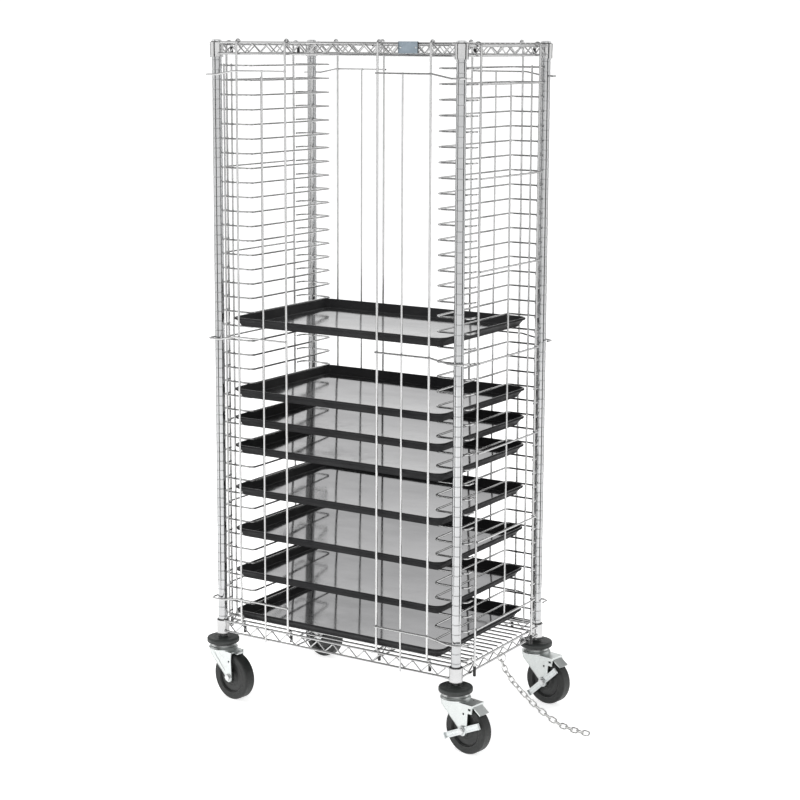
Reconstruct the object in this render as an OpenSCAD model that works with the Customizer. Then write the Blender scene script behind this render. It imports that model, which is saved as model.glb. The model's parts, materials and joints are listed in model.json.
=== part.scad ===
// Mobile wire rack for full-size sheet pans: four posts on swivel casters, a wire shelf at the
// top and at the bottom, a ledge panel on each side, lift-off wire gates, and eight pans.
// Units are millimetres. +Z is up, the front is -Y, and z = 0 is the floor.

/* [Frame] */
// Post spacing along the width, centre to centre
post_dx = 736.6; // [720:0.1:760]
// Post spacing along the depth, centre to centre
post_dy = 431.8; // [430:0.1:445]
// Outside diameter of a post
post_d = 25.4; // [25:0.1:25.8]
// Height of the post's lower end above the floor
post_z = 174; // [172:0.5:176]
// Length of a post
post_len = 1596; // [1580:1:1620]
// Distance between the post's grooves
groove_pitch = 25.4; // [20:0.1:30]

/* [Shelves] */
// Height of the top shelf's side edge wires
top_z = 1762; // [1760:0.5:1764]
// Height of the bottom shelf's side edge wires
bottom_z = 207.5; // [206.5:0.5:208]
// Height between a side's upper and lower edge wires
truss_h = 23; // [22:0.5:24]
// Diameter of the edge wires
edge_d = 6; // [5:0.1:6]
// Diameter of the deck wires
deck_d = 5; // [4:0.1:5]
// Spacing of the deck wires
deck_pitch = 26.4; // [26.3:0.1:26.6]

/* [Ledges] */
// Number of ledges on each side
ledge_n = 40; // [20:1:40]
// Distance from one ledge to the next
ledge_pitch = 38.1; // [38:0.1:38.1]
// Height of the uppermost ledge
ledge_z = 1708; // [1706:0.5:1710]
// Diameter of the ledge wire
ledge_d = 5; // [4:0.1:5]
// Distance from the rack's centre to a ledge's inner edge
ledge_x = 284.5; // [280:0.5:300]

/* [Gates] */
// Diameter of the gate wires
gate_d = 6; // [5:0.1:6]
// How far the outer upright is from the rack's centre
gate_x1 = 292.5; // [288:0.5:300]
// How far the middle upright is from the rack's centre
gate_x2 = 212.5; // [200:0.5:220]
// How far the inner upright is from the rack's centre
gate_x3 = 139.5; // [136:0.5:145]

/* [Pans] */
// Width of a pan over its rim
pan_w = 656; // [640:1:670]
// Depth of a pan over its rim
pan_d = 450; // [440:1:452]
// Height of a pan
pan_h = 25.4; // [20:0.1:28]
// Corner radius of a pan's rim
pan_r = 30; // [20:1:40]
// Thickness of the sheet
pan_t = 1.4; // [1.2:0.1:2]
// Ledges that carry a pan, counted from the top
pan_ledges = [18, 23, 25, 27, 30, 33, 36, 39];

/* [Casters] */
// Diameter of a wheel
wheel_d = 127; // [120:1:127]
// Width of a wheel
wheel_w = 32; // [30:0.5:34]
// Horizontal distance from the swivel axis to the axle
trail = 44; // [40:1:46]
// Direction in which the casters trail, from the rack's right
caster_deg = -10; // [-12:1:-8]
// Diameter of a bumper disc
bumper_d = 88; // [80:1:90]
// Tilt of the front brake lever
lever_rf_deg = 25; // [20:1:30]
// Tilt of the rear brake lever
lever_rr_deg = 43; // [38:1:48]

/* [Hidden] */
$fn = 48;
px = post_dx / 2;
py = post_dy / 2;
edge_x = px + 9.1;
edge_y = py + 9.1;
gap = 0.05;
axle_z = wheel_d / 2;
lip = edge_d / 2 + deck_d / 2 + gap;
gate_y = edge_y + edge_d / 2 + gate_d / 2 + 1.6;
tail_y = 2 * edge_y - gate_y;
bend = gate_y - edge_y;
bar_y = gate_y + gate_d - 0.5 + gap;
hook = 8.6;
outer_x = edge_x + hook;
panel_y = 152;
lever_r = 62;
x_far = px + (trail + axle_z - 5) * cos(caster_deg) + (wheel_w / 2 - 5) * abs(sin(caster_deg)) + 5;
x_shift = -(x_far - px - bumper_d / 2) / 2;
lever_tip = trail + lever_r * cos(lever_rf_deg) + 8 * sin(lever_rf_deg);
lever_far = py + lever_tip * abs(sin(caster_deg)) + (wheel_w / 2 + 15.35) * cos(caster_deg);
y_shift = (lever_far - py - bumper_d / 2) / 2;
corner_xy = [[-px, -py], [px, -py], [-px, py], [px, py]];
function ledge_h(i) = ledge_z - i * ledge_pitch;
function unit(v) = v / norm(v);

module rack() {
    translate([x_shift, y_shift, 0]) children();
}
// Straight round wire from a to b
module rod(a, b, d) {
    v = b - a;
    translate(a)
        rotate([0, acos(v[2] / norm(v)), atan2(v[1], v[0])])
            cylinder(d = d, h = norm(v));
}
// Part of a torus that turns the direction u into w at the point p
module elbow(p, u, w, d, r) {
    t = acos(max(-1, min(1, u * w)));
    n = unit(w - u * (u * w));
    c = p - u * (r * tan(t / 2)) + n * r;
    z = cross(-n, u);
    multmatrix([[-n[0], u[0], z[0], c[0]], [-n[1], u[1], z[1], c[1]],
            [-n[2], u[2], z[2], c[2]], [0, 0, 0, 1]])
        rotate_extrude(angle = t)
            translate([r, 0])
                circle(d = d);
}
function cut(p, i, r) = (i == 0 || i == len(p) - 1) ? 0 :
    r * tan(acos(unit(p[i] - p[i - 1]) * unit(p[i + 1] - p[i])) / 2);
// Round wire through the points p, bent at radius r; g is a hairline left at each bend
module wire(p, d, r, g = 0) {
    for (i = [0 : len(p) - 2]) {
        u = unit(p[i + 1] - p[i]);
        a = p[i] + u * (cut(p, i, r) + g);
        b = p[i + 1] - u * (cut(p, i + 1, r) + g);
        if (norm(b - a) > 0.1) rod(a, b, d);
    }
    for (i = [1 : 1 : len(p) - 2])
        elbow(p[i], unit(p[i] - p[i - 1]), unit(p[i + 1] - p[i]), d, r);
}
module tube(ro, ri, h) {
    difference() {
        cylinder(r = ro, h = h);
        translate([0, 0, -1]) cylinder(r = ri, h = h + 2);
    }
}

// ---- posts ----
function groove_profile(r, n) = [for (i = [1 : n]) each [
        [r, i * groove_pitch - 1.4], [r - 0.7, i * groove_pitch - 0.6],
        [r - 0.7, i * groove_pitch + 0.6], [r, i * groove_pitch + 1.4]]];
module post(i) {
    r = post_d / 2;
    n = floor(post_len / groove_pitch) - 1;
    rack() translate([corner_xy[i][0], corner_xy[i][1], post_z])
        color("silver")
            rotate_extrude()
                polygon(concat([[r - 1.5, 0], [r, 0]], groove_profile(r, n),
                        [[r, post_len], [r - 1.5, post_len]]));
}
module post_caps() {
    color("gainsboro")
        rack()
            for (c = corner_xy) translate([c[0], c[1], post_z + post_len])
                rotate_extrude()
                    polygon([[0, -14], [post_d / 2 - 1.6, -14], [post_d / 2 - 1.6, gap],
                            [post_d / 2, gap], [post_d / 2, 3], [post_d / 2 - 2, 5], [0, 5]]);
}
// Tapered split sleeves that lock the shelf collars on the posts
module sleeves() {
    color([0.1, 0.1, 0.1])
        rack()
            for (z = [top_z, bottom_z]) for (c = corner_xy) translate([c[0], c[1], z - 30])
                difference() {
                    tube(post_d / 2 + 2, post_d / 2 + 0.1, 38);
                    for (s = [0, 1]) rotate(s * 180 + 45)
                        translate([5, -0.75, -1]) cube([20, 1.5, 40]);
                }
}

// ---- shelves ----
// Bracing between two edge wires at the heights hi and lo
module zigzag(len, hi, lo) {
    n = floor(len / 24);
    p = len / n;
    for (i = [0 : n - 1]) {
        z1 = (i % 2 == 0) ? hi - 4.6 : lo + 4.6;
        z2 = (i % 2 == 0) ? lo + 4.6 : hi - 4.6;
        rod([i * p + 2 - len / 2, 0, z1], [(i + 1) * p - 2 - len / 2, 0, z2], 3.6);
    }
}
module collar() {
    difference() {
        translate([0, 0, -32]) cylinder(r1 = 17, r2 = 17.8, h = 38);
        translate([0, 0, -33]) cylinder(r = post_d / 2 + 2.1, h = 40);
    }
}
module shelf(z) {
    sx = edge_x - 2;
    color("silver")
        rack()
            translate([0, 0, z]) {
                for (c = corner_xy) translate([c[0], c[1], 0]) collar();
                for (s = [-1, 1]) {
                    for (h = [lip, -truss_h])
                        rod([15.4 - px, s * edge_y, h], [px - 15.4, s * edge_y, h], edge_d);
                    for (h = [0, -truss_h])
                        rod([s * edge_x, 15.4 - py, h], [s * edge_x, py - 15.4, h], edge_d);
                    translate([0, s * edge_y, 0]) zigzag(post_dx - 48, lip, -truss_h);
                    translate([s * edge_x, 0, 0]) rotate(90) zigzag(post_dy - 48, 0, -truss_h);
                    for (i = [0 : 7]) {
                        y = s * (i + 0.5) * deck_pitch;
                        x = i == 7 ? px - 15 : sx;
                        rod([-x, y, lip], [x, y, lip], deck_d);
                    }
                    translate([s * 118, 0, 0]) {
                        rod([0, 4 - edge_y, 0], [0, edge_y - 4, 0], edge_d - 1);
                        rod([0, 4 - edge_y, -truss_h], [0, edge_y - 4, -truss_h], edge_d - 1);
                        rotate(90) zigzag(post_dy - 30, 0, -truss_h);
                    }
                }
            }
}
module top_shelf() {
    shelf(top_z);
}
module bottom_shelf() {
    shelf(bottom_z);
}
// Blank plate that hangs on the front edge of the top shelf
module label_plate() {
    color([0.5, 0.55, 0.6])
        rack()
            translate([226, -edge_y - edge_d / 2 - 0.2, top_z + lip]) {
                translate([-28, -2, 4.8 - 29]) cube([56, 2, 29]);
                for (s = [-18, 18]) translate([s - 5, -1, 3.2]) cube([10, 7.5, 1.6]);
            }
}

// ---- ledge panels ----
module ledge() {
    x = outer_x - gate_d / 2 - ledge_d / 2 - gap;
    y = 187;
    wire([[x, -panel_y - 5, 0], [x, -y, 0], [ledge_x, -y, 0], [ledge_x, y, 0], [x, y, 0],
            [x, panel_y + 5, 0]], ledge_d, 14);
}
module panel() {
    for (i = [0 : ledge_n - 1]) translate([0, 0, ledge_h(i)]) ledge();
    for (s = [-1, 1]) {
        for (p = [[364, 192.1], [347, 181.9]])
            rod([p[0], s * p[1], ledge_h(ledge_n - 1) - 3], [p[0], s * p[1], ledge_z + 5], 5);
        wire([[outer_x, s * panel_y, bottom_z - truss_h - 8], [outer_x, s * panel_y, top_z + hook],
                [outer_x - 2 * hook, s * panel_y, top_z + hook],
                [outer_x - 2 * hook, s * panel_y, top_z - 24]], gate_d, hook, 0.03);
    }
    rod([outer_x, 0, ledge_h(ledge_n - 3) - 6], [outer_x, 0, ledge_h(1) + 6], gate_d - 1);
    for (i = [1 : 6 : ledge_n - 1])
        rod([outer_x + 5.6, -156, ledge_h(i)], [outer_x + 5.6, 156, ledge_h(i)], ledge_d);
}
module panel_left() {
    color("silver") rack() mirror([1, 0, 0]) panel();
}
module panel_right() {
    color("silver") rack() panel();
}
// Vinyl tips on the free ends of the panels' long uprights
module panel_tips() {
    color([0.08, 0.08, 0.08])
        rack()
            for (m = [0, 1]) mirror([m, 0, 0]) for (s = [-1, 1]) {
                translate([outer_x, s * panel_y, bottom_z - truss_h - 10]) tip(26, 1.9);
                translate([outer_x - 2 * hook, s * panel_y, top_z - 26]) tip(20, 1.9);
            }
}
module tip(h, floor_t) {
    difference() {
        cylinder(r = gate_d / 2 + 1, h = h);
        translate([0, 0, floor_t]) cylinder(r = gate_d / 2 + gap, h = h);
    }
}

// ---- gates ----
// One gate: two hooked uprights, a middle upright and three bars that hook round the post
module gate() {
    z_bar = [1695, 1001, 286];
    z1 = top_z + lip;
    z2 = bottom_z + lip;
    for (x = [gate_x1, gate_x3])
        wire([[x, tail_y, z1 - 14], [x, tail_y, z1 + bend], [x, gate_y, z1 + bend],
                [x, gate_y, z2 + bend], [x, tail_y, z2 + bend], [x, tail_y, bottom_z - 16]],
            gate_d, bend, 0.03);
    rod([gate_x2, gate_y, bottom_z - truss_h - 7], [gate_x2, gate_y, z_bar[0] + 3], gate_d - 1);
    for (z = z_bar) gate_bar(z);
}
module gate_bar(z) {
    r = bar_y - py;
    translate([px, py, z])
        wire([[gate_x3 - 3 - px, r, 0], [gate_x1 + 7 - px, r, 0], [gate_x1 + 60 - px, r, -10],
                [r, r, -10], [r, -6, -10]], gate_d - 1, 12, 0.03);
}
module gate_tips() {
    for (x = [gate_x1, gate_x3]) translate([x, tail_y, bottom_z - 18]) tip(20, 1.9);
}
module gate_place(sx, sy) {
    rack() mirror([sx < 0 ? 1 : 0, 0, 0]) mirror([0, sy < 0 ? 1 : 0, 0]) children();
}
module gate_fl() {
    color("silver") gate_place(-1, -1) gate();
}
module gate_fr() {
    color("silver") gate_place(1, -1) gate();
}
module gate_rl() {
    color("silver") gate_place(-1, 1) gate();
}
module gate_rr() {
    color("silver") gate_place(1, 1) gate();
}
module gate_tips_fl() {
    color([0.08, 0.08, 0.08]) gate_place(-1, -1) gate_tips();
}
module gate_tips_fr() {
    color([0.08, 0.08, 0.08]) gate_place(1, -1) gate_tips();
}
module gate_tips_rl() {
    color([0.08, 0.08, 0.08]) gate_place(-1, 1) gate_tips();
}
module gate_tips_rr() {
    color([0.08, 0.08, 0.08]) gate_place(1, 1) gate_tips();
}

// ---- pans ----
module tapered(w, d, r, w2, d2, r2, h) {
    hull()
        for (x = [-1, 1]) for (y = [-1, 1]) {
            translate([x * (w / 2 - r), y * (d / 2 - r), 0]) cylinder(r = r, h = 0.01, $fn = 32);
            translate([x * (w2 / 2 - r2), y * (d2 / 2 - r2), h - 0.01])
                cylinder(r = r2, h = 0.01, $fn = 32);
        }
}
module pan(n) {
    z = ledge_h(pan_ledges[n - 1]) + ledge_d / 2 + 0.3;
    b = 40;
    rack()
        translate([0, 0, z])
            color([0.16, 0.16, 0.16])
                difference() {
                    union() {
                        tapered(pan_w - b, pan_d - b, pan_r - 9, pan_w - 8, pan_d - 8,
                            pan_r - 4, pan_h);
                        translate([0, 0, pan_h - 4])
                            tapered(pan_w, pan_d, pan_r, pan_w, pan_d, pan_r, 4);
                    }
                    translate([0, 0, pan_t])
                        tapered(pan_w - b - 2 * pan_t, pan_d - b - 2 * pan_t, pan_r - 10,
                            pan_w - 8 - 2 * pan_t, pan_d - 8 - 2 * pan_t, pan_r - 5,
                            pan_h);
                }
}

// ---- casters ----
module at_caster(i) {
    rack()
        translate([corner_xy[i][0], corner_xy[i][1], 0])
            rotate(caster_deg)
                children();
}
// Plastic plug in the lower end of each post, with the bore for the stem
module stem_sockets() {
    color([0.2, 0.2, 0.2])
        for (i = [0 : 3]) at_caster(i)
            translate([0, 0, post_z - 3])
                rotate_extrude()
                    polygon([[5.6, 0], [post_d / 2 + 1, 0], [post_d / 2 + 1, 2.9],
                            [post_d / 2 - 1.6, 2.9], [post_d / 2 - 1.6, 55], [5.6, 55]]);
}
module caster_stems() {
    color("silver")
        for (i = [0 : 3]) at_caster(i)
            rotate_extrude()
                polygon([[0, 124], [9, 124], [10, 125], [10, 130.5], [6, 130.5], [6, 141], [34, 141],
                        [35, 143], [33, 147], [12, 151], [5.5, 151], [5.5, 218], [4.5, 220],
                        [0, 220]]);
}
module bumpers() {
    r = bumper_d / 2;
    color([0.22, 0.24, 0.23])
        for (i = [0 : 3]) at_caster(i)
            rotate_extrude()
                polygon([[6, 151.1], [12.1, 151.1], [28, 150.4], [r - 4, 150.4], [r - 1.2, 151.6],
                        [r, 154], [r, 161], [r - 1.2, 163.4], [r - 4, 164.6], [15, 164.6],
                        [13, 166.6], [6, 166.6]]);
}
module fork_plate(back) {
    difference() {
        union() {
            polygon([[-30, 134], [-26, 118], [trail - 12.2, 66], [trail, 57], [trail + 12.6, 64],
                    [back, 112], [back + 2, 134]]);
            translate([trail, axle_z]) circle(r = 13);
        }
        translate([trail, axle_z]) circle(r = 6.1);
        translate([trail + 2, 108]) circle(r = 3);
    }
}
module fork(back) {
    hw = wheel_w / 2 + 5;
    color([0.83, 0.86, 0.85]) {
        rotate_extrude()
            polygon([[6.05, 134.1], [30, 134.1], [39, 134.1], [39.5, 137], [37, 139.5], [30, 140.4],
                    [6.05, 140.4]]);
        for (s = [0, 1]) mirror([0, s, 0])
            translate([0, hw + 3, 0]) rotate([90, 0, 0]) linear_extrude(3) fork_plate(back);
        difference() {
            translate([-28, -hw, 131]) cube([back + 28, 2 * hw, 3]);
            translate([0, 0, 120]) cylinder(r = 6.05, h = 30);
        }
    }
}
// Plain fork with a small stop tab behind
module fork_plain(i) {
    at_caster(i) fork(54);
    at_caster(i) color([0.83, 0.86, 0.85]) translate([53.9, -12, 129]) cube([14, 24, 3]);
}
// Fork with the slotted channel for the brake spring and the shoe over the tread
module fork_brake(i) {
    hw = wheel_w / 2 + 5;
    shoe_deg = 34.5;
    shoe_r = wheel_d / 2 + 5.5;
    at_caster(i) fork(60);
    at_caster(i) color([0.83, 0.86, 0.85]) {
        difference() {
            translate([59.9, -hw - 3, 112]) cube([13, 2 * hw + 6, 22]);
            translate([55, -hw, 108]) cube([14.5, 2 * hw, 23]);
            translate([55, -hw, 108]) cube([20, 2 * hw, 18]);
            translate([61.5, -hw - 5, 120]) cube([8, 2 * hw + 10, 5.5]);
        }
        translate([trail + shoe_r * sin(shoe_deg), 0, axle_z + shoe_r * cos(shoe_deg)])
            rotate([0, shoe_deg, 0])
                cube([30, wheel_w + 3, 3], center = true);
    }
}
module tyre(i) {
    r = wheel_d / 2;
    w = wheel_w / 2;
    a = [for (t = [90 : -15 : 0]) [r - 5 + 5 * cos(t), w - 5 + 5 * sin(t)]];
    b = [for (t = [0 : 15 : 90]) [r - 5 + 5 * cos(t), 5 - w - 5 * sin(t)]];
    at_caster(i)
        translate([trail, 0, axle_z])
            rotate([90, 0, 0])
                color([0.2, 0.21, 0.2])
                    rotate_extrude()
                        polygon(concat([[r - 17, -w], [r - 17, w]], a, b));
}
module hub(i) {
    r = wheel_d / 2 - 17 - gap;
    w = wheel_w / 2;
    at_caster(i)
        translate([trail, 0, axle_z])
            rotate([90, 0, 0])
                color([0.17, 0.17, 0.17])
                    rotate_extrude()
                        polygon([[6.05, -w - 3], [14, -w - 3], [15, -w + 1], [19, -w + 5],
                                [r - 6, -w + 5], [r - 2, -w], [r, -w], [r, w], [r - 2, w],
                                [r - 6, w - 5], [19, w - 5], [15, w - 1], [14, w + 3],
                                [6.05, w + 3]]);
}
module axle(i) {
    s = wheel_w / 2 + 8;
    e = (i == 1 || i == 3) ? 4 : 0;
    at_caster(i)
        translate([trail, 0, axle_z])
            rotate([90, 0, 0])
                color("silver") {
                    translate([0, 0, -s - 6]) cylinder(r = 6, h = 2 * s + 12 + e);
                    translate([0, 0, -s - 5.1]) cylinder(r = 9, h = 5, $fn = 6);
                    translate([0, 0, s + e + 0.1]) cylinder(r = 9, h = 5, $fn = 6);
                }
}
// Stamped lever on the near side of the fork, turning on the axle
module brake_lever(i, tilt) {
    s = wheel_w / 2 + 8.4;
    at_caster(i)
        translate([trail, 0, axle_z])
            rotate([0, -tilt, 0])
                translate([0, -s, 0])
                    rotate([90, 0, 0])
                        color([0.8, 0.83, 0.83])
                            difference() {
                                union() {
                                    linear_extrude(3) union() {
                                        translate([-lever_r, -8]) square([2 * lever_r, 16]);
                                        circle(r = 13);
                                    }
                                    translate([lever_r - 3, -8, -gap]) cube([3, 16, 7]);
                                    translate([-lever_r, -8, -gap]) cube([3, 16, 7]);
                                }
                                translate([0, 0, -3]) cylinder(r = 6.05, h = 12);
                            }
}

// ---- ground chain ----
link_d = 4;
link_p = 17;
link_w = 13;
// Route of the chain from the bottom shelf's side wire to the floor
route = [[377, 5.5, 170], [388, 9, 142], [408, 16, 112], [436, 24, 82], [468, 31, 53],
    [502, 37, 29], [538, 39, 13], [576, 37, 8], [650, 32, 8]];
function leg_at(i) = i == 0 ? 0 : leg_at(i - 1) + norm(route[i] - route[i - 1]);
function seg_of(s, i = 0) = (i >= len(route) - 2 || s < leg_at(i + 1)) ? i : seg_of(s, i + 1);
function at(s) = let (i = seg_of(s)) route[i] + (s - leg_at(i)) * unit(route[i + 1] - route[i]);
module chain_link() {
    a = (link_p + link_d) / 2 - link_w / 2;
    r = link_w / 2;
    for (m = [0, 1]) rotate([0, 0, m * 180]) {
        rod([-a, r, 0], [a, r, 0], link_d);
        translate([a, 0, 0]) rotate(-90) rotate_extrude(angle = 180)
            translate([r, 0]) circle(d = link_d);
    }
}
module ground_chain() {
    step = link_p - 0.3;
    color([0.72, 0.73, 0.72])
        rack()
            for (i = [0 : 18]) {
                a = at(i * step);
                b = at((i + 1) * step);
                v = b - a;
                translate((a + b) / 2)
                    rotate([0, atan2(-v[2], norm([v[0], v[1]])), atan2(v[1], v[0])])
                        rotate([min(45, i * 5) + (i % 2) * 90, 0, 0])
                            chain_link();
            }
}
// Ring through the first link and round the lower edge wire
module chain_ring() {
    color([0.72, 0.73, 0.72])
        rack()
            translate([edge_x, 6, bottom_z - truss_h - 6.5])
                rotate([90, 0, 0])
                    rotate_extrude()
                        translate([12.2, 0]) circle(d = 3.4);
}

post(0);  // post_lf
post(1);  // post_rf
post(2);  // post_lr
post(3);  // post_rr
post_caps();
top_shelf();
bottom_shelf();
sleeves();
panel_left();
panel_right();
panel_tips();
label_plate();
gate_fl();
gate_fr();
gate_rl();
gate_rr();
gate_tips_fl();
gate_tips_fr();
gate_tips_rl();
gate_tips_rr();
pan(1);  // pan_1
pan(2);  // pan_2
pan(3);  // pan_3
pan(4);  // pan_4
pan(5);  // pan_5
pan(6);  // pan_6
pan(7);  // pan_7
pan(8);  // pan_8
stem_sockets();
caster_stems();
bumpers();
fork_plain(0);  // fork_lf
fork_brake(1);  // fork_rf
fork_plain(2);  // fork_lr
fork_brake(3);  // fork_rr
tyre(0);  // tyre_lf
tyre(1);  // tyre_rf
tyre(2);  // tyre_lr
tyre(3);  // tyre_rr
hub(0);  // hub_lf
hub(1);  // hub_rf
hub(2);  // hub_lr
hub(3);  // hub_rr
axle(0);  // axle_lf
axle(1);  // axle_rf
axle(2);  // axle_lr
axle(3);  // axle_rr
brake_lever(1, lever_rf_deg);  // brake_lever_rf
brake_lever(3, lever_rr_deg);  // brake_lever_rr
ground_chain();
chain_ring();
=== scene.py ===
"""Looks of the sheet pan rack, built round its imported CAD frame. Lengths are in metres."""
import json
import math
import random

import bmesh
import bpy
from mathutils import Matrix, Vector


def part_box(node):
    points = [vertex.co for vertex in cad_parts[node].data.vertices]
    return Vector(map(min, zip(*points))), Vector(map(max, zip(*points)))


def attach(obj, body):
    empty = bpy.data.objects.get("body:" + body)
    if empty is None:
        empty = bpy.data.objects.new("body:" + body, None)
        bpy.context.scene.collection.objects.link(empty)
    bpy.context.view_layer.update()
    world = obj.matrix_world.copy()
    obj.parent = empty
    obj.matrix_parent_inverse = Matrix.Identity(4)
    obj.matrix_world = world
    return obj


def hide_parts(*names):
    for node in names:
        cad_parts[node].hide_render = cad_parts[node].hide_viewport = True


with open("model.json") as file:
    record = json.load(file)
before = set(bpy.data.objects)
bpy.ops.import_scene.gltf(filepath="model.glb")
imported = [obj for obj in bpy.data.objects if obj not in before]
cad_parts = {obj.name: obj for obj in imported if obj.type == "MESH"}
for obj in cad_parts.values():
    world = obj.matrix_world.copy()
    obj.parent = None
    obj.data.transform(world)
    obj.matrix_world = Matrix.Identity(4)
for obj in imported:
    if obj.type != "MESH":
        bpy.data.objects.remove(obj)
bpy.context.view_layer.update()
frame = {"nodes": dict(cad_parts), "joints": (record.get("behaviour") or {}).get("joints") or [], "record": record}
NODES = frame["nodes"]
MM = 0.001
rng = random.Random(7)

# camera, fitted to the photograph
AZIMUTH, ELEVATION, ROLL = (math.radians(a) for a in (31.96, 9.19, 0.27))
CAMERA_OUT = (2.6528, -4.1295)      # from the rack's middle
CAMERA_HEIGHT = 1.7770
LENS = 84.17
SHIFT = (-0.0057, -0.0725)

# light
FRONT = (0.537, -0.843, 0.0)        # from the rack to the camera, on the floor
BACKDROP = (-0.50, 0.866, 0.0)
SIDE = (0.86, 1.10)                 # world strength behind the camera and at the backdrop
FLAGS = 0.26                        # what the dark flags round the camera leave of it
CEILING = 0.66                      # what is left of it overhead
FLOOR_GLOW = 0.66
CARD_OUT, CARD_W, CARD_H = 1.35, 0.42, 2.3      # dark cards: distance from the rack, and size
CARD_TURNS = (-54, 58, 122, -126)               # degrees from the camera's side


# ------------------------------------------------------------------ places read from the frame
def mid(node):
    lo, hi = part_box(node)
    return (lo + hi) / 2


POST = {k: mid("post_" + k) for k in ("lf", "rf", "lr", "rr")}
CENTRE = (POST["lf"] + POST["rr"]) / 2
CX, CY = CENTRE.x, CENTRE.y
JOINTS = {j["name"]: j for j in frame["joints"]}


# ------------------------------------------------------------------ camera
def make_camera():
    forward = Vector((-math.sin(AZIMUTH) * math.cos(ELEVATION),
                      math.cos(AZIMUTH) * math.cos(ELEVATION), -math.sin(ELEVATION)))
    right = Vector((math.cos(AZIMUTH), math.sin(AZIMUTH), 0))
    up = right.cross(forward)
    r = right * math.cos(ROLL) + up * math.sin(ROLL)
    u = up * math.cos(ROLL) - right * math.sin(ROLL)
    data = bpy.data.cameras.new("camera")
    cam = bpy.data.objects.new("camera", data)
    bpy.context.scene.collection.objects.link(cam)
    rot = Matrix((r, u, -forward)).transposed().to_4x4()
    eye = Vector((CX + CAMERA_OUT[0], CY + CAMERA_OUT[1], CAMERA_HEIGHT))
    cam.matrix_world = Matrix.Translation(eye) @ rot
    data.sensor_width = 36
    data.lens = LENS
    data.shift_x = SHIFT[0]
    data.shift_y = SHIFT[1]
    data.clip_end = 200
    bpy.context.scene.camera = cam


make_camera()


# ------------------------------------------------------------------ materials
class Mat:
    """A principled material with helpers for noise-driven detail."""

    def __init__(self, name):
        self.m = bpy.data.materials.new(name)
        self.m.use_nodes = True
        self.t = self.m.node_tree
        self.b = next(n for n in self.t.nodes if n.type == "BSDF_PRINCIPLED")
        self.co = self.t.nodes.new("ShaderNodeTexCoord")

    def set(self, **values):
        for k, v in values.items():
            self.b.inputs[k.replace("_", " ")].default_value = v
        return self

    def node(self, kind, **values):
        n = self.t.nodes.new(kind)
        for k, v in values.items():
            key = k.replace("_", " ")
            if key in n.inputs:
                n.inputs[key].default_value = v
            else:
                setattr(n, k, v)
        return n

    def link(self, a, b):
        self.t.links.new(a, b)

    def noise(self, scale, detail=4.0, stretch=None, roughness=0.55):
        n = self.node("ShaderNodeTexNoise", Scale=scale, Detail=detail, Roughness=roughness)
        src = self.co.outputs["Object"]
        if stretch:
            mp = self.node("ShaderNodeMapping", Scale=stretch)
            self.link(src, mp.inputs["Vector"])
            src = mp.outputs["Vector"]
        self.link(src, n.inputs["Vector"])
        return n.outputs["Fac"]

    def ramp(self, fac, stops):
        n = self.node("ShaderNodeValToRGB")
        e = n.color_ramp.elements
        while len(e) < len(stops):
            e.new(0.5)
        for el, (pos, col) in zip(e, stops):
            el.position = pos
            el.color = (*col, 1) if len(col) == 3 else col
        self.link(fac, n.inputs["Fac"])
        return n.outputs["Color"]

    def grey(self, fac, lo, hi, a=0.3, b=0.7):
        n = self.node("ShaderNodeMapRange")
        for k, v in (("From Min", a), ("From Max", b), ("To Min", lo), ("To Max", hi)):
            n.inputs[k].default_value = v
        self.link(fac, n.inputs["Value"])
        return n.outputs["Result"]

    def rough(self, fac, lo, hi, a=0.3, b=0.7):
        self.link(self.grey(fac, lo, hi, a, b), self.b.inputs["Roughness"])
        return self

    def colour(self, fac, stops):
        self.link(self.ramp(fac, stops), self.b.inputs["Base Color"])
        return self

    def bump(self, fac, strength, distance=0.001):
        n = self.node("ShaderNodeBump")
        n.inputs["Strength"].default_value = strength
        n.inputs["Distance"].default_value = distance
        self.link(fac, n.inputs["Height"])
        self.link(n.outputs["Normal"], self.b.inputs["Normal"])
        return self


def chrome(name, tone, rough_lo, rough_hi, dull):
    m = Mat(name).set(Metallic=1.0)
    fine = m.noise(240, 6)
    broad = m.noise(14, 3)
    lo = tuple(c * dull for c in tone)
    m.colour(broad, [(0.3, lo), (0.62, tone)])
    m.rough(fine, rough_lo, rough_hi)
    m.bump(m.noise(900, 3), 0.05, 0.0004)
    return m.m


def plastic(name, dark, light, rough, bump=0.25, scale=700):
    m = Mat(name)
    m.colour(m.noise(60, 5), [(0.3, dark), (0.7, light)])
    m.rough(m.noise(150, 4), rough - 0.08, rough + 0.1)
    m.bump(m.noise(scale, 3), bump, 0.0003)
    return m.m


def zinc(name, tone, rough):
    """Zinc-plated pressed steel: faint spangle, soft brushed streaks, duller in patches."""
    m = Mat(name).set(Metallic=1.0)
    vor = m.node("ShaderNodeTexVoronoi", Scale=420.0)
    m.link(m.co.outputs["Object"], vor.inputs["Vector"])
    patch = m.noise(35, 5)
    mix = m.node("ShaderNodeMix", data_type="FLOAT")
    mix.inputs["Factor"].default_value = 0.35
    m.link(patch, mix.inputs[2])
    m.link(vor.outputs["Distance"], mix.inputs[3])
    lo = tuple(c * 0.78 for c in tone)
    m.colour(mix.outputs[0], [(0.2, lo), (0.62, tone)])
    m.rough(patch, rough - 0.08, rough + 0.12)
    m.bump(m.noise(500, 4, (1, 1, 0.15)), 0.10, 0.0004)
    return m.m


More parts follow.
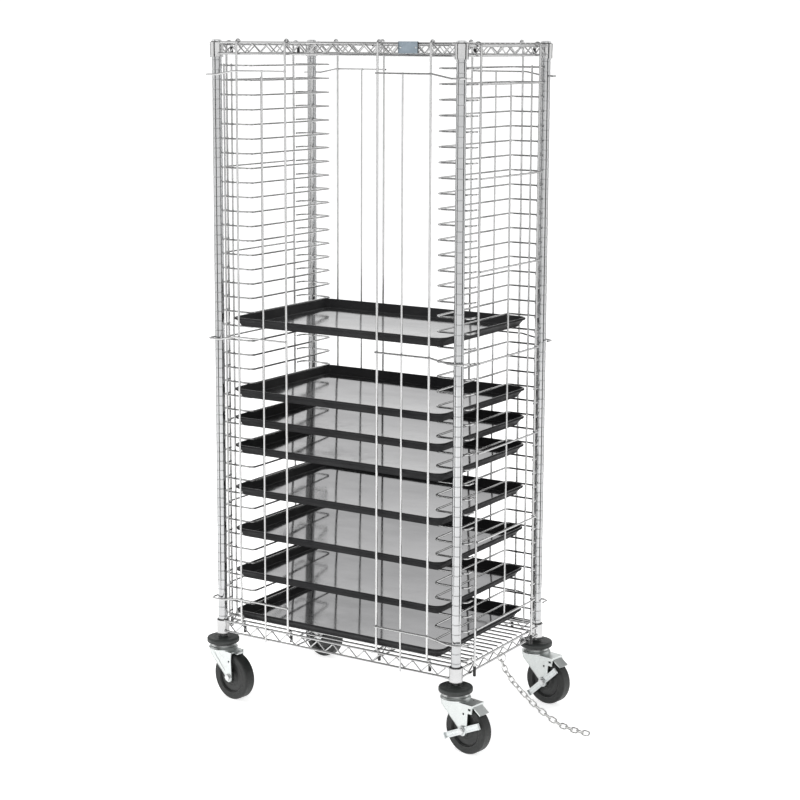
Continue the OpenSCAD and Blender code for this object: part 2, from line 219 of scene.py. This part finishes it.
def pan_coat():
    """Dark satin coat on aluminium; the face-up flat bottom is painted lighter, metallic and shinier by the way it
    faces: a painted reflection of the bright backdrop.
    """
    m = Mat("pan_dark").set(IOR=1.45, Specular_IOR_Level=0.15)
    axes = m.node("ShaderNodeSeparateXYZ")
    m.link(m.co.outputs["Normal"], axes.inputs[0])
    # mask of the faces that look up; it carries the painted reflection below
    face_up_mask = m.grey(axes.outputs["Z"], 0.0, 1.0, 0.93, 0.995)
    coat = m.ramp(m.noise(9, 4), [(0.3, (0.014, 0.014, 0.015)), (0.7, (0.026, 0.026, 0.027))])
    # painted reflection: up-facing faces get a lighter colour, standing in for the bright backdrop they mirror
    painted_reflection = m.ramp(m.noise(5, 6, (1, 2.2, 1)),
                    [(0.3, (0.19, 0.19, 0.195)), (0.7, (0.27, 0.27, 0.275))])
    mix = m.node("ShaderNodeMix", data_type="RGBA")
    m.link(face_up_mask, mix.inputs[0])
    m.link(coat, mix.inputs[6])
    m.link(painted_reflection, mix.inputs[7])
    m.link(mix.outputs[2], m.b.inputs["Base Color"])
    m.link(m.grey(face_up_mask, 0.0, 0.92, 0.0, 1.0), m.b.inputs["Metallic"])
    satin = m.node("ShaderNodeMix", data_type="FLOAT")
    m.link(face_up_mask, satin.inputs[0])
    m.link(m.grey(m.noise(40, 4), 0.46, 0.60), satin.inputs[2])
    m.link(m.grey(m.noise(26, 5), 0.06, 0.13), satin.inputs[3])
    m.link(satin.outputs[0], m.b.inputs["Roughness"])
    m.bump(m.noise(9, 5), 0.16, 0.0012)
    return m.m


def tyre():
    m = Mat("tyre_rubber")
    m.colour(m.noise(90, 5), [(0.3, (0.008, 0.009, 0.0085)), (0.72, (0.016, 0.0175, 0.0165))])
    m.rough(m.noise(200, 4), 0.42, 0.62)
    m.bump(m.noise(900, 4), 0.25, 0.0003)
    return m.m


MATS = {
    "chrome_post": chrome("chrome_post", (0.51, 0.515, 0.52), 0.10, 0.17, 0.90),
    "cap_grey": chrome("cap_grey", (0.80, 0.805, 0.81), 0.24, 0.34, 0.9),
    "chrome_wire": chrome("chrome_wire", (0.60, 0.60, 0.60), 0.12, 0.22, 0.84),
    "gate_chrome": chrome("gate_chrome", (0.64, 0.64, 0.64), 0.13, 0.22, 0.88),
    "sleeve_black": plastic("sleeve_black", (0.012, 0.012, 0.012), (0.022, 0.022, 0.022), 0.42),
    "vinyl_black": plastic("vinyl_black", (0.010, 0.010, 0.010), (0.020, 0.020, 0.020), 0.34),
    "plate_grey": plastic("plate_grey", (0.17, 0.21, 0.24), (0.22, 0.26, 0.30), 0.4, 0.1),
    "pan_dark": pan_coat(),
    "zinc_steel": zinc("zinc_steel", (0.74, 0.76, 0.75), 0.34),
    "bumper_rubber": plastic("bumper_rubber", (0.018, 0.021, 0.020), (0.030, 0.034, 0.032),
                             0.5, 0.2),
    "fork_steel": zinc("fork_steel", (0.70, 0.73, 0.72), 0.34),
    "tyre_rubber": tyre(),
    "hub_plastic": plastic("hub_plastic", (0.010, 0.011, 0.011), (0.020, 0.021, 0.020), 0.45),
    "axle_steel": zinc("axle_steel", (0.72, 0.73, 0.73), 0.3),
    "lever_steel": zinc("lever_steel", (0.74, 0.77, 0.77), 0.32),
    "chain_steel": zinc("chain_steel", (0.78, 0.78, 0.77), 0.30),
}
SLOT_OF = {s["node"]: s["material_slot"] for s in frame["record"]["subparts"]}
for name, obj in NODES.items():
    slot = SLOT_OF[name]
    obj.data.materials.clear()
    obj.data.materials.append(MATS[slot])


# ------------------------------------------------------------------ mesh helpers
def add(name, bm, body, slot, smooth=35):
    me = bpy.data.meshes.new(name)
    bmesh.ops.recalc_face_normals(bm, faces=bm.faces[:])
    bm.to_mesh(me)
    bm.free()
    me.materials.append(MATS[slot])
    for p in me.polygons:
        p.use_smooth = True
    me.set_sharp_from_angle(angle=math.radians(smooth))
    ob = bpy.data.objects.new(name, me)
    bpy.context.scene.collection.objects.link(ob)
    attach(ob, body)
    return ob


def ring_loft(bm, rings, close=False):
    """Joins successive closed rings of equal vertex count; returns the vertex rings."""
    vr = [[bm.verts.new(p) for p in ring] for ring in rings]
    pairs = list(zip(vr, vr[1:])) + ([(vr[-1], vr[0])] if close else [])
    for a, b in pairs:
        n = len(a)
        for i in range(n):
            bm.faces.new((a[i], a[(i + 1) % n], b[(i + 1) % n], b[i]))
    return vr


# ------------------------------------------------------------------ pans
def rounded_rect(w, d, r, seg=8):
    pts = []
    for cx, cy, a0 in ((1, 1, 0), (-1, 1, 90), (-1, -1, 180), (1, -1, 270)):
        for i in range(seg + 1):
            a = math.radians(a0 + 90 * i / seg)
            pts.append((cx * (w / 2 - r) + r * math.cos(a), cy * (d / 2 - r) + r * math.sin(a)))
    return pts


def make_pan(i):
    """A drawn sheet pan: flat bottom, curved heel, sloping wall, rolled rim over a wire."""
    node = f"pan_{i}"
    lo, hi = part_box(node)
    c = (lo + hi) / 2
    w, d, h = hi.x - lo.x, hi.y - lo.y, hi.z - lo.z
    t = 1.3 * MM
    bead = 3.4 * MM
    heel = 5 * MM
    wall_in = 13 * MM
    # profile as (inset from the rim's outline, height), from the inside of the bottom outwards
    foot = wall_in + 4 * MM + heel
    quarter = [math.radians(90 * k / 5) for k in range(6)]
    inner = [(foot - 0.9 * heel * math.sin(a), t + heel - heel * math.cos(a)) for a in quarter]
    inner.append((2 * bead + 0.5 * MM, h - bead - 1.5 * MM))
    roll = [math.radians(12 + 276 * k / 10) for k in range(11)]
    rim = [(bead + bead * math.cos(a), h - bead + bead * math.sin(a)) for a in roll]
    under = heel + t
    outer = [(foot - 0.9 * under * math.sin(a), under - under * math.cos(a)) for a in quarter]
    outer.append((2 * bead + 0.5 * MM - t, h - 2 * bead - 1 * MM))
    outer.reverse()
    bm = bmesh.new()
    profile = inner + rim + outer
    rings = []
    for inset, z in profile:
        r = max(30 * MM - inset, 8 * MM)
        outline = rounded_rect(w - 2 * inset, d - 2 * inset, r)
        rings.append([(c.x + x, c.y + y, lo.z + z) for x, y in outline])
    vr = ring_loft(bm, rings)
    bm.faces.new(vr[0])
    bm.faces.new(vr[-1])
    ob = add(f"pan_{i}_shell", bm, f"pan_{i}_body", "pan_dark", 50)
    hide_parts(node)


for i in range(1, 9):
    make_pan(i)


# ------------------------------------------------------------------ shapes for the small pieces
def sweep(bm, pts, radii, seg=8):
    """Round bar through the points with its own radius at each, closed at both ends."""
    pts = [Vector(p) for p in pts]
    rings, side = [], None
    for i, (p, r) in enumerate(zip(pts, radii)):
        t = (pts[min(i + 1, len(pts) - 1)] - pts[max(i - 1, 0)]).normalized()
        side = t.orthogonal() if side is None else side - t * side.dot(t)
        side.normalize()
        up = t.cross(side)
        turn = [2 * math.pi * k / seg for k in range(seg)]
        rings.append([p + (side * math.cos(a) + up * math.sin(a)) * r for a in turn])
    vr = ring_loft(bm, rings)
    bm.faces.new(vr[0])
    bm.faces.new(vr[-1])


def capsule(bm, a, b, r, seg=8):
    a, b = Vector(a), Vector(b)
    u = (b - a).normalized() * r
    sweep(bm, [a - u * 0.95, a - u * 0.6, a, b, b + u * 0.6, b + u * 0.95],
          [0.3 * r, 0.8 * r, r, r, 0.8 * r, 0.3 * r], seg)


def nugget(bm, at, size):
    """A weld: a slightly uneven flattened bead."""
    wob = [1 + rng.uniform(-0.12, 0.12) for _ in range(3)]
    scale = Matrix.Diagonal((size[0] * wob[0], size[1] * wob[1], size[2] * wob[2], 1))
    bmesh.ops.create_icosphere(bm, subdivisions=2, radius=1, matrix=Matrix.Translation(at) @ scale)


def lathe(bm, profile, place, seg=40, close=False):
    turn = [2 * math.pi * k / seg for k in range(seg)]
    rings = [[place @ Vector((r * math.cos(a), r * math.sin(a), z)) for a in turn]
             for r, z in profile]
    vr = ring_loft(bm, rings, close)
    if not close:
        bm.faces.new(vr[0])
        bm.faces.new(vr[-1])


def bead_ring(bm, r, z, minor, place, seg=48, sides=8):
    turn = [2 * math.pi * k / sides for k in range(sides)]
    lathe(bm, [(r + minor * math.cos(a), z + minor * math.sin(a)) for a in turn], place, seg, True)


# ------------------------------------------------------------------ shelves: bends and welds
PX, PY = (POST["rf"].x - POST["lf"].x) / 2, (POST["lr"].y - POST["lf"].y) / 2
EDGE = 9.1 * MM          # the edge wires lie this far outside the posts' centres
LIP = 5.55 * MM          # front and back edge wires, and the deck, above the side wires
TRUSS = 23 * MM
DECK_PITCH = 26.4 * MM
CROSS_X = 118 * MM
BEND_Z = 4.6 * MM        # a bend's centre from its edge wire's centre
SHELF_Z = {n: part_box(n)[1].z - LIP - 3 * MM for n in ("top_shelf", "bottom_shelf")}


def shelf_bends(bm, start, along, length, hi, lo):
    """The bends of a zigzag brace, which join its straight legs."""
    n = int(length / (24 * MM))
    step = along * (length / n)
    half = along * 2 * MM
    for i in range(1, n):
        at = start + step * i
        at.z = hi - BEND_Z if i % 2 == 0 else lo + BEND_Z
        capsule(bm, at - half, at + half, 1.8 * MM)


def make_shelf(node):
    z = SHELF_Z[node]
    x_dir, y_dir = Vector((1, 0, 0)), Vector((0, 1, 0))
    bm = bmesh.new()
    for s in (-1, 1):
        long_brace = 2 * PX - 48 * MM
        y = CY + s * (PY + EDGE)
        shelf_bends(bm, Vector((CX - long_brace / 2, y, 0)), x_dir, long_brace, z + LIP, z - TRUSS)
        for x, length in ((PX + EDGE, 2 * PY - 48 * MM), (CROSS_X, 2 * PY - 30 * MM)):
            shelf_bends(bm, Vector((CX + s * x, CY - length / 2, 0)), y_dir, length, z, z - TRUSS)
    add(f"{node}_bends", bm, "rack", "chrome_wire")
    bm = bmesh.new()
    for s in (-1, 1):
        for i in range(8):
            for side in (-1, 1):
                y = CY + side * (i + 0.5) * DECK_PITCH
                nugget(bm, (CX + s * CROSS_X, y, z + LIP / 2), (2.1 * MM, 1.7 * MM, 1.3 * MM))
                if i < 7:
                    nugget(bm, (CX + s * (PX + EDGE - 1.4 * MM), y, z + LIP / 2),
                           (1.8 * MM, 1.8 * MM, 1.4 * MM))
        for side in (-1, 1):
            y = CY + side * (PY + EDGE - 3.2 * MM)
            nugget(bm, (CX + s * CROSS_X, y, z + 3.2 * MM), (2.2 * MM, 2.0 * MM, 2.0 * MM))
            nugget(bm, (CX + s * CROSS_X, y, z - TRUSS), (2.2 * MM, 1.9 * MM, 2.2 * MM))
    add(f"{node}_welds", bm, "rack", "chrome_wire")
    bm = bmesh.new()
    for post in POST.values():
        place = Matrix.Translation((post.x, post.y, z))
        bead_ring(bm, 17.3 * MM, 5.1 * MM, 0.8 * MM, place)
        bead_ring(bm, 16.6 * MM, -31.0 * MM, 0.9 * MM, place)
        # the welded tabs that hold the edge wires in the collar
        for hx, hy in ((1, 0), (0, 1)):
            sx = -hx if post.x > CX else hx
            sy = -hy if post.y > CY else hy
            out = Vector((EDGE if hy else 0, EDGE if hx else 0, 0))
            out.x *= 1 if post.x > CX else -1
            out.y *= 1 if post.y > CY else -1
            for h in ((LIP if hx else 0), -TRUSS):
                along = Vector((sx, sy, 0))
                base = Vector((post.x, post.y, z + h)) + out + along * 15.6 * MM
                capsule(bm, base - along * MM, base + along * 2.5 * MM, 3.7 * MM, 10)
    add(f"{node}_collar_lips", bm, "rack", "chrome_wire")


for shelf_node in SHELF_Z:
    make_shelf(shelf_node)


# ------------------------------------------------------------------ ledge panels and gates: welds
LEDGE_PITCH = 38.1 * MM
LEDGE_TOP = SHELF_Z["top_shelf"] - 54 * MM
LEDGES = 40
OUTER_X = PX + EDGE + 8.6 * MM
PANEL_Y = 152 * MM                  # the panels' outer uprights, from the middle
GATE_OUT = 7.6 * MM                 # the gates' uprights, outside the edge wires
GATE_BARS_Z = (1695, 1001, 286)     # millimetres, as are the next two
GATE_WIRES_X = (292.5, 212.5, 139.5)
LEDGE_ENDS = ((364, 189.6), (347, 184.4))


def make_panel_welds(side, s):
    bm = bmesh.new()
    for k in range(LEDGES):
        z = LEDGE_TOP - k * LEDGE_PITCH
        for e in (-1, 1):
            for x, y in LEDGE_ENDS:
                nugget(bm, (CX + s * x * MM, CY + e * y * MM, z), (2.4 * MM, 1.2 * MM, 1.9 * MM))
            nugget(bm, (CX + s * (OUTER_X - 2.8 * MM), CY + e * PANEL_Y, z),
                   (1.2 * MM, 2.4 * MM, 1.9 * MM))
        if k % 6 == 1:
            for y in (-PANEL_Y, 0, PANEL_Y):
                nugget(bm, (CX + s * (OUTER_X + 2.9 * MM), CY + y, z),
                       (1.2 * MM, 2.6 * MM, 2.0 * MM))
    add(f"panel_{side}_welds", bm, "rack", "chrome_wire")


def make_gate_welds(key, body, sx, sy):
    gate_y = PY + EDGE + GATE_OUT
    bm = bmesh.new()
    for z in GATE_BARS_Z:
        for x in GATE_WIRES_X:
            at = (CX + sx * x * MM, CY + sy * (gate_y + 2.9 * MM), z * MM)
            nugget(bm, at, (2.4 * MM, 1.0 * MM, 2.0 * MM))
    add(f"gate_{key}_welds", bm, body, "gate_chrome")


make_panel_welds("left", -1)
make_panel_welds("right", 1)
for key, body, sx, sy in (("fl", "gate_front_left", -1, -1), ("fr", "gate_front_right", 1, -1),
                          ("rl", "gate_rear_left", -1, 1), ("rr", "gate_rear_right", 1, 1)):
    make_gate_welds(key, body, sx, sy)


# ------------------------------------------------------------------ name plate (blank)
def make_plate():
    lo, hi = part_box("label_plate")
    front = lo.y
    bm = bmesh.new()
    w, h = hi.x - lo.x, 29 * MM
    zc = lo.z + h / 2
    outer = rounded_rect(w - 1.5 * MM, h - 1.5 * MM, 3 * MM, 4)
    inner = rounded_rect(w - 6 * MM, h - 6 * MM, 2 * MM, 4)
    xc = (lo.x + hi.x) / 2
    rings = [[(xc + x, front + 0.2 * MM, zc + z) for x, z in outer],
             [(xc + x, front - 0.5 * MM, zc + z) for x, z in outer],
             [(xc + x, front - 0.5 * MM, zc + z) for x, z in inner],
             [(xc + x, front + 0.2 * MM, zc + z) for x, z in inner]]
    ring_loft(bm, rings, True)
    add("label_plate_border", bm, "rack", "plate_grey")
    bm = bmesh.new()
    turn = Matrix.Rotation(math.radians(90), 4, "X")
    for s in (-1, 1):
        place = Matrix.Translation((xc + s * (w / 2 - 6 * MM), front, zc)) @ turn
        lathe(bm, [(2.2 * MM, -0.4 * MM), (2.2 * MM, 0.5 * MM), (1.4 * MM, 1.2 * MM),
                   (0.4 * MM, 1.4 * MM)], place, 20)
    add("label_plate_rivets", bm, "rack", "axle_steel")
    bm = bmesh.new()
    for s in (-1, 1):
        x = xc + s * (w / 2 - 0.2 * MM)
        sweep(bm, [(x, front + 1 * MM, zc - 13.5 * MM), (x, front + 1 * MM, zc - 13 * MM),
                   (x, front + 1 * MM, zc + 13 * MM), (x, front + 1 * MM, zc + 13.5 * MM)],
              [1.0 * MM, 1.7 * MM, 1.7 * MM, 1.0 * MM], 10)
    add("label_plate_clips", bm, "rack", "vinyl_black")


make_plate()


# ------------------------------------------------------------------ casters
HALF_W = 16 * MM                    # half the wheel's width
LEVER_TILT = {"rf": 25, "rr": 43}   # degrees, as the levers stand at rest


def make_caster(k):
    post = POST[k]
    axle = Vector(JOINTS[f"wheel_{k}_spin"]["pos_m"])
    away = Vector((axle.x - post.x, axle.y - post.y, 0))
    trail = away.length
    heading = Matrix.Rotation(math.atan2(away.y, away.x), 4, "Z")
    place = Matrix.Translation((post.x, post.y, 0)) @ heading
    at_axle = Matrix.Translation((trail, 0, axle.z)) @ Matrix.Rotation(math.radians(90), 4, "X")
    at_axle = place @ at_axle
    braked = f"brake_{k}" in JOINTS
    face = HALF_W + 8 * MM

    # swivel raceway: pressed bead, ball ring and dust lip
    bm = bmesh.new()
    bead_ring(bm, 35.6 * MM, 140.0 * MM, 0.9 * MM, place, 64)
    bead_ring(bm, 38.6 * MM, 136.6 * MM, 1.1 * MM, place, 64)
    add(f"fork_{k}_raceway_lip", bm, f"caster_{k}", "fork_steel")
    bm = bmesh.new()
    for i in range(30):
        a = 2 * math.pi * i / 30
        at = place @ Vector((32.2 * MM * math.cos(a), 32.2 * MM * math.sin(a), 140.75 * MM))
        bmesh.ops.create_icosphere(bm, subdivisions=2, radius=0.65 * MM,
                                   matrix=Matrix.Translation(at))
    add(f"fork_{k}_balls", bm, f"caster_{k}", "axle_steel")

    # stiffening ribs pressed into the legs, clear of the lever on the near side
    bm = bmesh.new()
    for s in (-1, 1):
        if braked and s < 0:
            continue
        y = s * (face - 0.7 * MM)
        capsule(bm, place @ Vector((-12 * MM, y, 124 * MM)),
                place @ Vector((trail - 14 * MM, y, 80 * MM)), 1.6 * MM, 10)
    for s in (-1, 1):
        y = s * (face - 0.5 * MM)
        edge = [(-29.4, 133), (-25.6, 118), (trail / MM - 12.4, 66.5)]
        sweep(bm, [place @ Vector((x * MM, y, z * MM)) for x, z in edge], [1.1 * MM] * 3, 8)
    add(f"fork_{k}_ribs", bm, f"caster_{k}", "fork_steel")

    # washers under the bolt head and the nut, and the nut's locking collar
    bm = bmesh.new()
    end = 4 * MM if braked else 0
    for z0 in (-face - 0.05 * MM, face + end + 0.05 * MM):
        d = 1 if z0 > 0 else -1
        z0 = z0 - d * 0.6 * MM if (d > 0 and braked) else z0
        lathe(bm, [(6.1 * MM, z0), (10.6 * MM, z0), (11.0 * MM, z0 + d * 0.3 * MM),
                   (10.6 * MM, z0 + d * 0.6 * MM), (6.1 * MM, z0 + d * 0.6 * MM)],
              at_axle, 40, True)
        tip = z0 + d * 6.0 * MM
        lathe(bm, [(6.1 * MM, tip - d * 0.9 * MM), (7.7 * MM, tip - d * 0.9 * MM),
                   (7.3 * MM, tip - d * 0.1 * MM), (6.1 * MM, tip - d * 0.1 * MM)],
              at_axle, 32, True)
    add(f"axle_{k}_washers", bm, f"caster_{k}", "axle_steel")

    # wheel: moulded rings in the hub's dish, and the tyre's mould lines
    bm = bmesh.new()
    for s in (-1, 1):
        bead_ring(bm, 41.6 * MM, s * (HALF_W - 2.6 * MM), 1.0 * MM, at_axle, 56)
        bead_ring(bm, 24.0 * MM, s * (HALF_W - 5.1 * MM), 0.8 * MM, at_axle, 48)
    add(f"hub_{k}_rings", bm, f"wheel_{k}", "hub_plastic")
    bm = bmesh.new()
    for s in (-1, 1):
        bead_ring(bm, 49.2 * MM, s * (HALF_W - 0.25 * MM), 0.55 * MM, at_axle, 64, 6)
        bead_ring(bm, 56.0 * MM, s * (HALF_W - 0.30 * MM), 0.5 * MM, at_axle, 64, 6)
    add(f"tyre_{k}_lines", bm, f"wheel_{k}", "tyre_rubber")

    # bumper: moulded step on the upper face
    bm = bmesh.new()
    at_post = Matrix.Translation((post.x, post.y, 0))
    bead_ring(bm, 24 * MM, 164.5 * MM, 0.7 * MM, at_post, 56, 6)
    bead_ring(bm, 38 * MM, 164.5 * MM, 0.6 * MM, at_post, 56, 6)
    add(f"bumper_{k}_rings", bm, "rack", "bumper_rubber")
    if braked:
        make_lever(k, place, trail, axle.z)


def make_lever(k, place, trail, axle_z):
    """Pressed boss and ribs on the brake lever's outer face."""
    face = HALF_W + 8.4 * MM + 3 * MM
    tilt = Matrix.Rotation(math.radians(-LEVER_TILT[k]), 4, "Y")
    at = place @ Matrix.Translation((trail, 0, axle_z)) @ tilt
    out = at @ Matrix.Rotation(math.radians(90), 4, "X")
    bm = bmesh.new()
    lathe(bm, [(10.4 * MM, face - 0.4 * MM), (12.9 * MM, face - 0.4 * MM),
               (12.6 * MM, face + 1.0 * MM), (11.8 * MM, face + 1.7 * MM),
               (10.9 * MM, face + 1.5 * MM), (10.4 * MM, face + 0.6 * MM)],
          out, 44, True)
    for s in (-1, 1):
        for e in (-1, 1):
            y = e * 4.6 * MM
            capsule(bm, out @ Vector((s * 15.5 * MM, y, face - 0.6 * MM)),
                    out @ Vector((s * 56 * MM, y, face - 0.6 * MM)), 1.3 * MM, 10)
    add(f"brake_lever_{k}_ribs", bm, f"lever_{k}", "lever_steel")


for corner in POST:
    make_caster(corner)


# ------------------------------------------------------------------ CAD nodes: smooth shading
for name, obj in NODES.items():
    me = obj.data
    if not me.has_custom_normals:
        for p in me.polygons:
            p.use_smooth = True
        me.set_sharp_from_angle(angle=math.radians(32))


# ------------------------------------------------------------------ floor and light
def make_stage():
    bm = bmesh.new()
    bmesh.ops.create_circle(bm, cap_ends=True, radius=150, segments=96)
    me = bpy.data.meshes.new("floor")
    bm.to_mesh(me)
    bm.free()
    floor = bpy.data.objects.new("floor", me)
    bpy.context.scene.collection.objects.link(floor)
    m = Mat("floor")
    m.colour(m.noise(3, 4), [(0.2, (0.86, 0.86, 0.86)), (0.8, (0.90, 0.90, 0.90))])
    m.set(Roughness=0.9)
    m.set(Specular_IOR_Level=0.1, Emission_Color=(1, 1, 1, 1), Emission_Strength=FLOOR_GLOW)
    me.materials.append(m.m)


def area(name, loc, target, size, power, size_y=None):
    data = bpy.data.lights.new(name, "AREA")
    data.energy = power
    data.shape = "RECTANGLE"
    data.size = size
    data.size_y = size_y or size
    ob = bpy.data.objects.new(name, data)
    bpy.context.scene.collection.objects.link(ob)
    ob.location = loc
    ob.rotation_euler = (Vector(target) - Vector(loc)).to_track_quat("-Z", "Y").to_euler()
    ob.visible_glossy = False


def make_cards():
    """Dark cards round the rack, which only reflections see; they draw chrome's dark streaks."""
    m = Mat("card")
    m.colour(m.noise(4, 3), [(0.3, (0.02, 0.02, 0.02)), (0.7, (0.04, 0.04, 0.04))])
    m.set(Roughness=0.9, Specular_IOR_Level=0.0)
    front = math.atan2(FRONT[1], FRONT[0])
    for i, turn in enumerate(CARD_TURNS):
        a = front + math.radians(turn)
        out = Vector((math.cos(a), math.sin(a), 0))
        across = Vector((-out.y, out.x, 0)) * CARD_W / 2
        foot = Vector((CX, CY, 0.01)) + out * CARD_OUT
        top = Vector((0, 0, CARD_H))
        bm = bmesh.new()
        corners = (foot - across, foot + across, foot + across + top, foot - across + top)
        bm.faces.new([bm.verts.new(c) for c in corners])
        me = bpy.data.meshes.new(f"card_{i}")
        bm.to_mesh(me)
        bm.free()
        me.materials.append(m.m)
        card = bpy.data.objects.new(f"card_{i}", me)
        bpy.context.scene.collection.objects.link(card)
        card.visible_camera = card.visible_diffuse = card.visible_shadow = False


def make_light():
    scene = bpy.context.scene
    scene.view_settings.view_transform = "Standard"
    world = bpy.data.worlds.new("studio")
    scene.world = world
    world.use_nodes = True
    t = world.node_tree
    bg = next(n for n in t.nodes if n.type == "BACKGROUND")
    co = t.nodes.new("ShaderNodeTexCoord")

    def mapped(direction, a, b, lo, hi):
        dot = t.nodes.new("ShaderNodeVectorMath")
        dot.operation = "DOT_PRODUCT"
        dot.inputs[1].default_value = direction
        t.links.new(co.outputs["Generated"], dot.inputs[0])
        out = t.nodes.new("ShaderNodeMapRange")
        out.interpolation_type = "SMOOTHSTEP"
        for k, v in (("From Min", a), ("From Max", b), ("To Min", lo), ("To Max", hi)):
            out.inputs[k].default_value = v
        t.links.new(dot.outputs["Value"], out.inputs["Value"])
        return out.outputs["Result"]

    def times(a, b):
        mul = t.nodes.new("ShaderNodeMath")
        mul.operation = "MULTIPLY"
        t.links.new(a, mul.inputs[0])
        t.links.new(b, mul.inputs[1])
        return mul.outputs[0]

    # a bright backdrop, a dimmer room behind the camera, dark flags round it, a dim ceiling
    side = mapped(BACKDROP, -0.35, 0.55, SIDE[0], SIDE[1])
    ceiling = mapped((0.0, 0.0, 1.0), 0.3, 0.85, 1.0, CEILING)
    flag_out = mapped(FRONT, 0.12, 0.38, 0.0, 1.0)
    flag_in = mapped(FRONT, 0.70, 0.88, 1.0, 0.0)
    flag = times(flag_out, flag_in)
    left = t.nodes.new("ShaderNodeMapRange")
    left.inputs["To Min"].default_value = 1.0
    left.inputs["To Max"].default_value = FLAGS
    t.links.new(flag, left.inputs["Value"])
    room = times(times(side, ceiling), left.outputs["Result"])
    # bright all round at the horizon, so that no edge shows where the floor ends
    horizon = mapped((0.0, 0.0, 1.0), 0.10, 0.26, SIDE[1], 0.0)
    brighter = t.nodes.new("ShaderNodeMath")
    brighter.operation = "MAXIMUM"
    t.links.new(room, brighter.inputs[0])
    t.links.new(horizon, brighter.inputs[1])
    t.links.new(brighter.outputs[0], bg.inputs["Strength"])
    bg.inputs["Color"].default_value = (1, 1, 1, 1)
    area("key", (CX - 0.4, CY - 5.2, 2.3), (CX, CY, 0.9), 0.9, 70, 2.6)
    area("fill", (CX + 5.2, CY - 1.4, 2.2), (CX, CY, 0.9), 0.8, 45, 2.6)
    area("top", (CX - 0.6, CY - 0.8, 4.6), (CX, CY, 0.8), 2.0, 75)


make_stage()
make_cards()
make_light()
